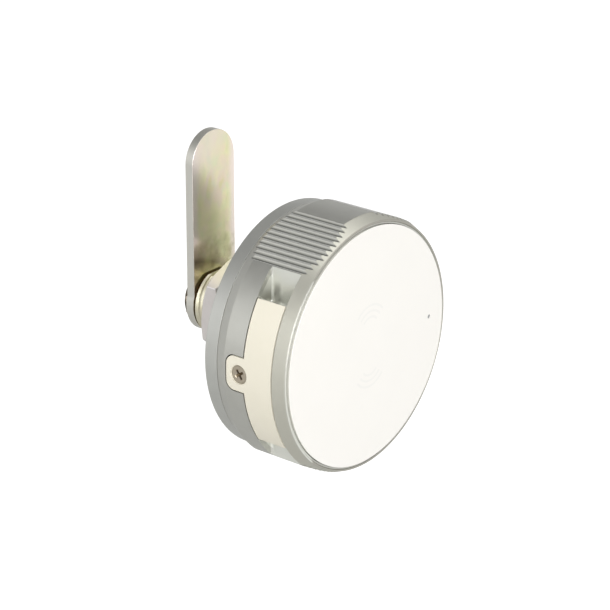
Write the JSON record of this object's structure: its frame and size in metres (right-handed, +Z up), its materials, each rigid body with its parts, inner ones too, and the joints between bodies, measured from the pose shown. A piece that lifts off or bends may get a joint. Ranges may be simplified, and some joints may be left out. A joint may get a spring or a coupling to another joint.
{
  "type": "electronic cabinet lock",
  "caption": "Round knob lock for a cabinet door: card reader behind a white face, ridged grips, side battery cover, flange, threaded barrel with nut, and a flat cam turned behind the door.",
  "frame": {"origin": "centre of the flange's back face, on the lock's axis", "axes": "+Y through the door to the cam, -Y to the user, +Z up along the cam, +X to the right as seen from the front"},
  "size_m": [0.0604, 0.0512, 0.0715],
  "materials": {
    "face_white": "smooth white face plate",
    "adhesive": "thin black tape",
    "light_pin": "smoked clear",
    "led": "clear over yellow",
    "copper": "bare copper track",
    "board": "green solder resist",
    "chip": "black epoxy",
    "black_plastic": "fine moulded texture",
    "steel": "bright zinc plate",
    "knob_silver": "satin silver paint on a casting",
    "cover_cream": "cream moulded plastic",
    "nickel": "warm nickel plate",
    "brass": "turned",
    "cell": "rolled steel can",
    "contact": "nickel plated spring strip",
    "washer_plastic": "slippery natural plastic",
    "flange_silver": "satin silver paint on a casting",
    "barrel_zinc": "pale yellow zinc plate",
    "nut_zinc": "clear zinc plate",
    "cam_zinc": "yellow zinc plate with pink and green tints"
  },
  "bodies": {
    "base": {"base_flange": "flange_silver", "lock_barrel": "barrel_zinc", "mounting_nut": "nut_zinc"},
    "knob": {"front_disc": "face_white", "disc_adhesive": "adhesive", "light_guide": "light_pin", "status_led": "led", "antenna_coil": "copper", "control_board": "board", "microcontroller": "chip", "buzzer": "black_plastic", "board_screws": "steel", "knob_shell": "knob_silver", "battery_cover": "cover_cream", "cover_screw": "nickel", "cover_insert": "brass", "battery_tray": "cover_cream", "coin_cell": "cell", "positive_contact": "contact", "negative_contact": "contact", "chassis": "black_plastic", "motor": "steel", "rear_plate": "black_plastic", "rear_plate_screws": "steel", "spindle": "barrel_zinc", "spindle_screw": "steel", "thrust_washer": "washer_plastic", "cam": "cam_zinc", "cam_washer": "steel", "cam_screw": "nickel"},
    "lock_bolt": {"lock_bolt": "steel"},
    "drive_screw": {"drive_screw": "steel"}
  },
  "joints": [
    {"name": "knob_turn", "type": "hinge", "parent": "base", "child": "knob", "pos_m": [0, 0, 0], "axis": [0, 1, 0], "range_deg": [0, 90]},
    {"name": "bolt_slide", "type": "slide", "parent": "knob", "child": "lock_bolt", "axis": [0, 0, -1], "range_m": [0, 0.0022]},
    {"name": "motor_spin", "type": "hinge", "parent": "knob", "child": "drive_screw", "pos_m": [0, -0.00806, 0], "axis": [0, 0, 1], "range_deg": [0, 792.5]}
  ],
  "couplings": [
    {"joint": "motor_spin", "follows": "bolt_slide", "rad_per_m": 6283.2}
  ]
}
